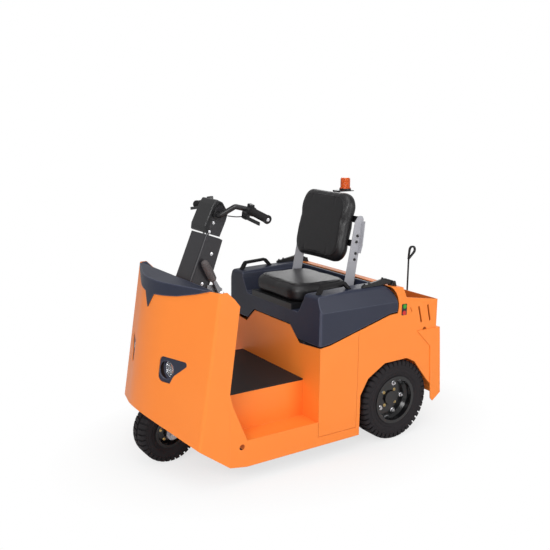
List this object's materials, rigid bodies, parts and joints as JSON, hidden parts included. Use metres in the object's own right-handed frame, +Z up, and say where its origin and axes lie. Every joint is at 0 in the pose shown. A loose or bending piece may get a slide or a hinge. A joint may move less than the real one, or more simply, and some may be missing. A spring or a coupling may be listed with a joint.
{
  "type": "three-wheeled electric tow tractor",
  "caption": "Compact seated electric tow tractor: swept bent-plate front shield, handlebar steering on a leaning column, side steps, tilting seat hood, open rear tub and pin coupling.",
  "frame": {"origin": "on the ground, midway between the two sides and between the front tyre's foremost point and the tow jaw's rearmost point", "axes": "+Z up, the front faces -Y, the driver's left side is +X"},
  "size_m": [0.768, 1.564, 1.19],
  "materials": {
    "body_orange": "satin powder coat",
    "cover_slate": "fine moulded grain",
    "column_grey": "satin",
    "head_black": "gloss",
    "black_rubber": "matt",
    "tyre_black": "matt",
    "rim_black": "gloss",
    "seat_black": "soft sheen",
    "steel_grey": "satin",
    "bright_steel": "brushed",
    "black_steel": "satin",
    "lens_clear": "clear",
    "cable_black": "satin sheath",
    "lamp_chrome": "bright",
    "beacon_amber": "clear tinted",
    "battery_grey": "matt",
    "cast_grey": "as cast, painted",
    "button_green": "gloss"
  },
  "bodies": {
    "tractor": {"platform": "body_orange", "floor_mat": "black_rubber", "front_shield": "body_orange", "nose_cover": "cover_slate", "headlamps": "lamp_chrome", "headlamp_lenses": "lens_clear", "lamp_plates": "cover_slate", "steering_column": "column_grey", "parking_brake_lever": "bright_steel", "parking_brake_grip": "black_rubber", "seat_box": "body_orange", "side_panels": "body_orange", "battery": "battery_grey", "rear_body": "body_orange", "bumper": "body_orange", "tow_coupling": "black_steel", "rear_axle": "cast_grey", "drive_motor": "cast_grey", "hood_hinge_brackets": "black_steel", "side_buttons": "button_green"},
    "handlebar_head": {"steering_head": "column_grey", "head_cover": "head_black", "steering_shaft": "bright_steel", "handlebar": "black_steel", "hand_grips": "black_rubber", "brake_levers": "black_steel", "brake_cable": "cable_black"},
    "fork": {"front_fork": "steel_grey", "front_axle": "bright_steel"},
    "front_wheel": {"front_tyre": "tyre_black", "front_rim": "rim_black"},
    "rear_wheel_left": {"rear_tyre_left": "tyre_black", "rear_rim_left": "rim_black"},
    "rear_wheel_right": {"rear_tyre_right": "tyre_black", "rear_rim_right": "rim_black"},
    "hood": {"seat_hood": "cover_slate", "hood_hinge_arms": "black_steel", "console_handles": "black_rubber", "seat_frame": "black_steel", "seat_cushion": "seat_black", "backrest": "seat_black", "seat_side_bars": "steel_grey", "beacon": "beacon_amber", "beacon_base": "black_steel"},
    "tow_pin": {"tow_pin": "black_steel"}
  },
  "joints": [
    {"name": "fork_steer", "type": "hinge", "parent": "tractor", "child": "fork", "pos_m": [0, -0.646, 0.3], "axis": [0, 0, 1], "range_deg": [-45, 45]},
    {"name": "handlebar_steer", "type": "hinge", "parent": "tractor", "child": "handlebar_head", "pos_m": [0, -0.443, 0.973], "axis": [0, 0.3272, 0.9449], "range_deg": [-45, 45]},
    {"name": "front_wheel_spin", "type": "hinge", "parent": "fork", "child": "front_wheel", "pos_m": [0, -0.646, 0.136], "axis": [1, 0, 0], "continuous": true},
    {"name": "rear_wheel_left_spin", "type": "hinge", "parent": "tractor", "child": "rear_wheel_left", "pos_m": [0.319, 0.342, 0.19], "axis": [1, 0, 0], "continuous": true},
    {"name": "rear_wheel_right_spin", "type": "hinge", "parent": "tractor", "child": "rear_wheel_right", "pos_m": [-0.319, 0.342, 0.19], "axis": [1, 0, 0], "continuous": true},
    {"name": "hood_hinge", "type": "hinge", "parent": "tractor", "child": "hood", "pos_m": [0, 0.322, 0.744], "axis": [-1, 0, 0], "range_deg": [0, 55]},
    {"name": "tow_pin_lift", "type": "slide", "parent": "tractor", "child": "tow_pin", "axis": [0, 0, 1], "range_m": [0, 0.1]}
  ],
  "couplings": [
    {"joint": "handlebar_steer", "follows": "fork_steer", "ratio": 1}
  ]
}
